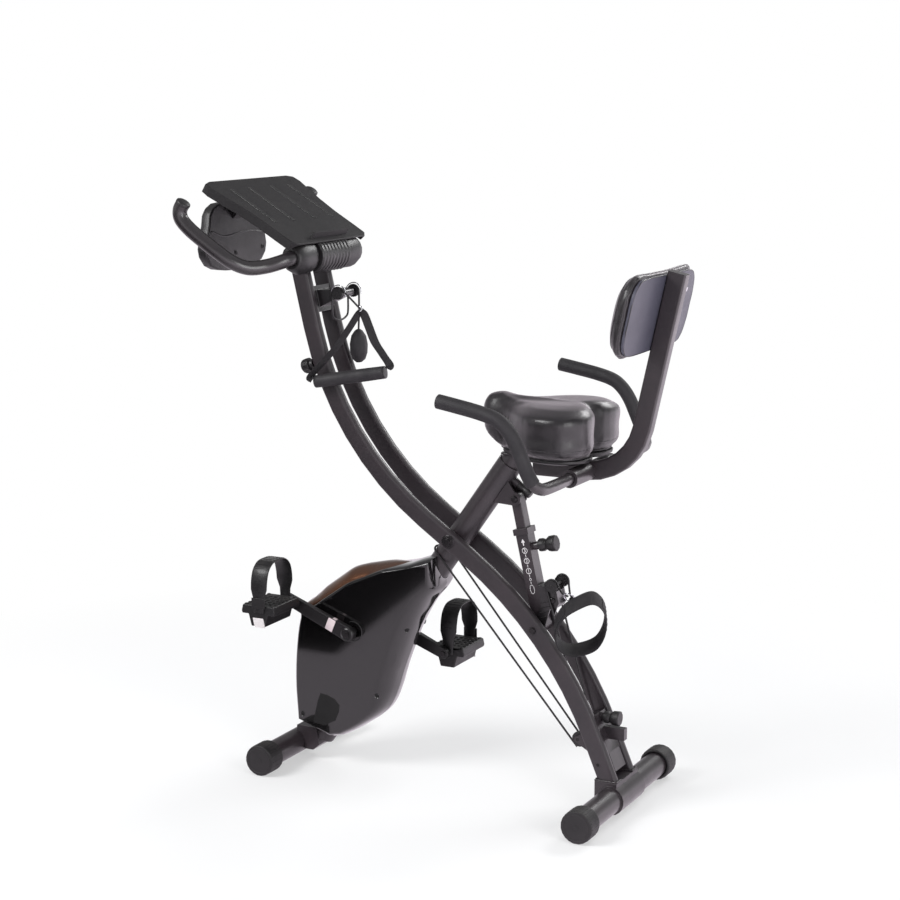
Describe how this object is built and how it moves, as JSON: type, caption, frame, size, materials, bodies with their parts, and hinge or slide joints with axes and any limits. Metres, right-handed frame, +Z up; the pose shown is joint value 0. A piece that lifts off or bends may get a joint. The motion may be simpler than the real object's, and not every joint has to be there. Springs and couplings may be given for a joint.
{
  "type": "folding desk exercise bike",
  "caption": "Folding upright exercise bike: curved rails crossing a straight post, enclosed flywheel drive, padded seat with backrest, handles, desk tray and stretch bands.",
  "frame": {"origin": "on the floor under the middle of the bike's length and width, at the bottom of the rubber feet", "axes": "+Z up, +X forwards from the backrest to the desk, +Y to the seated rider's left"},
  "size_m": [0.9862, 0.5654, 1.1775],
  "materials": {
    "frame_coat": "dark grey-brown powder coat, satin",
    "gloss_shell": "piano black gloss",
    "bronze_cover": "metallic bronze lacquer",
    "black_rubber": "black rubber",
    "foam_grip": "closed-cell foam sleeve, black",
    "black_vinyl": "smooth black vinyl",
    "moulded_plastic": "black moulded plastic, fine grain",
    "back_panel": "blue-grey moulded panel",
    "bright_steel": "plated steel",
    "black_steel": "blackened steel",
    "cast_alloy": "as cast and turned",
    "webbing": "black woven webbing"
  },
  "bodies": {
    "rail_frame": {"left_rail": "frame_coat", "right_rail": "frame_coat", "rear_stabiliser": "frame_coat", "rear_foot_left": "black_rubber", "rear_foot_right": "black_rubber", "rear_bracket": "frame_coat", "strut_bolt": "black_steel", "head_tube": "frame_coat", "head_cap_left": "moulded_plastic", "head_cap_right": "moulded_plastic", "handlebar": "foam_grip", "upper_pulley_bracket": "frame_coat", "arm_band": "black_rubber", "arm_handle_grip": "foam_grip", "arm_handle_strap": "webbing", "second_arm_handle": "foam_grip", "rear_pulley_bracket": "moulded_plastic", "leg_band": "black_rubber", "ankle_cuff": "webbing"},
    "post_frame": {"main_post": "frame_coat", "pivot_bolt_left": "black_steel", "pivot_bolt_right": "black_steel", "front_stabiliser": "frame_coat", "front_foot_left": "black_rubber", "front_foot_right": "black_rubber", "housing_left": "gloss_shell", "housing_right": "gloss_shell", "housing_cover": "bronze_cover", "drive_belt": "black_rubber", "strut_pin": "black_steel"},
    "crank": {"crank_spindle": "black_steel", "drive_pulley": "cast_alloy", "crank_left": "bright_steel", "crank_right": "bright_steel"},
    "left_pedal": {"pedal_left": "moulded_plastic", "pedal_strap_left": "black_rubber"},
    "right_pedal": {"pedal_right": "moulded_plastic", "pedal_strap_right": "black_rubber"},
    "flywheel_rotor": {"flywheel": "black_steel"},
    "seat": {"seat_post": "frame_coat", "saddle_base": "moulded_plastic", "saddle": "black_vinyl", "backrest_post": "frame_coat", "backrest_board": "back_panel", "backrest_pad": "black_vinyl", "seat_handle": "frame_coat", "seat_grip_left": "foam_grip", "seat_grip_right": "foam_grip"},
    "seat_lock": {"seat_knob": "moulded_plastic"},
    "strut_top": {"strut_inner": "frame_coat"},
    "strut_base": {"strut_outer": "frame_coat"},
    "strut_lock": {"strut_knob": "moulded_plastic"},
    "rear_lock": {"rear_lock_knob": "moulded_plastic"},
    "tension": {"tension_knob": "moulded_plastic"},
    "desk": {"tray": "moulded_plastic", "desk_clamp": "moulded_plastic", "console": "moulded_plastic"},
    "upper_wheels": {"upper_pulleys": "black_steel"},
    "rear_wheels": {"rear_pulleys": "black_steel"},
    "lower_wheels": {"lower_pulleys": "black_steel"}
  },
  "joints": [
    {"name": "frame_fold", "type": "hinge", "parent": "rail_frame", "child": "post_frame", "pos_m": [-0.03198, 0, 0.49504], "axis": [0, 1, 0], "range_deg": [0, 40], "deforming": ["leg_band"]},
    {"name": "crank_turn", "type": "hinge", "parent": "post_frame", "child": "crank", "pos_m": [0.17925, 0, 0.29014], "axis": [0, 1, 0], "continuous": true},
    {"name": "left_pedal_spin", "type": "hinge", "parent": "crank", "child": "left_pedal", "pos_m": [0.32018, 0, 0.34708], "axis": [0, 1, 0], "continuous": true},
    {"name": "right_pedal_spin", "type": "hinge", "parent": "crank", "child": "right_pedal", "pos_m": [0.03832, 0, 0.2332], "axis": [0, 1, 0], "continuous": true},
    {"name": "flywheel_spin", "type": "hinge", "parent": "post_frame", "child": "flywheel_rotor", "pos_m": [0.22121, 0, 0.195], "axis": [0, 1, 0], "continuous": true},
    {"name": "seat_height", "type": "slide", "parent": "post_frame", "child": "seat", "axis": [-0.5736, 0, 0.8192], "range_m": [0, 0.16]},
    {"name": "seat_lock_pull", "type": "slide", "parent": "post_frame", "child": "seat_lock", "axis": [-0.8192, 0, -0.5736], "range_m": [0, 0.008], "stiffness_N_per_m": 400, "springref_m": -0.01},
    {"name": "strut_swing", "type": "hinge", "parent": "post_frame", "child": "strut_top", "pos_m": [-0.15704, 0, 0.58509], "axis": [0, 1, 0], "range_deg": [-28.1, 0]},
    {"name": "strut_slide", "type": "slide", "parent": "strut_top", "child": "strut_base", "axis": [-0.2204, 0, -0.9754], "range_m": [0, 0.0876]},
    {"name": "strut_lock_pull", "type": "slide", "parent": "strut_base", "child": "strut_lock", "axis": [-0.9754, 0, 0.2204], "range_m": [0, 0.008], "stiffness_N_per_m": 400, "springref_m": -0.01},
    {"name": "rear_lock_pull", "type": "slide", "parent": "rail_frame", "child": "rear_lock", "axis": [-1, 0, 0], "range_m": [0, 0.008], "stiffness_N_per_m": 400, "springref_m": -0.01},
    {"name": "tension_turn", "type": "hinge", "parent": "rail_frame", "child": "tension", "pos_m": [0.26874, 0.039, 0.82212], "axis": [0.9322, 0, -0.3618], "range_deg": [0, 300]},
    {"name": "desk_tilt", "type": "hinge", "parent": "rail_frame", "child": "desk", "pos_m": [0.26948, 0, 1.034], "axis": [0, 1, 0], "range_deg": [-20, 25]},
    {"name": "upper_pulleys_spin", "type": "hinge", "parent": "rail_frame", "child": "upper_wheels", "pos_m": [0.21856, 0, 0.9605], "axis": [0, 1, 0], "continuous": true},
    {"name": "rear_pulleys_spin", "type": "hinge", "parent": "rail_frame", "child": "rear_wheels", "pos_m": [-0.24144, 0, 0.4255], "axis": [0, 1, 0], "continuous": true},
    {"name": "lower_pulleys_spin", "type": "hinge", "parent": "rail_frame", "child": "lower_wheels", "pos_m": [-0.29944, 0, 0.132], "axis": [0, 1, 0], "continuous": true}
  ],
  "couplings": [
    {"joint": "flywheel_spin", "follows": "crank_turn", "ratio": 5.2},
    {"joint": "strut_swing", "follows": "frame_fold", "ratio": -0.7},
    {"joint": "strut_slide", "follows": "frame_fold", "m_per_rad": 0.125}
  ]
}
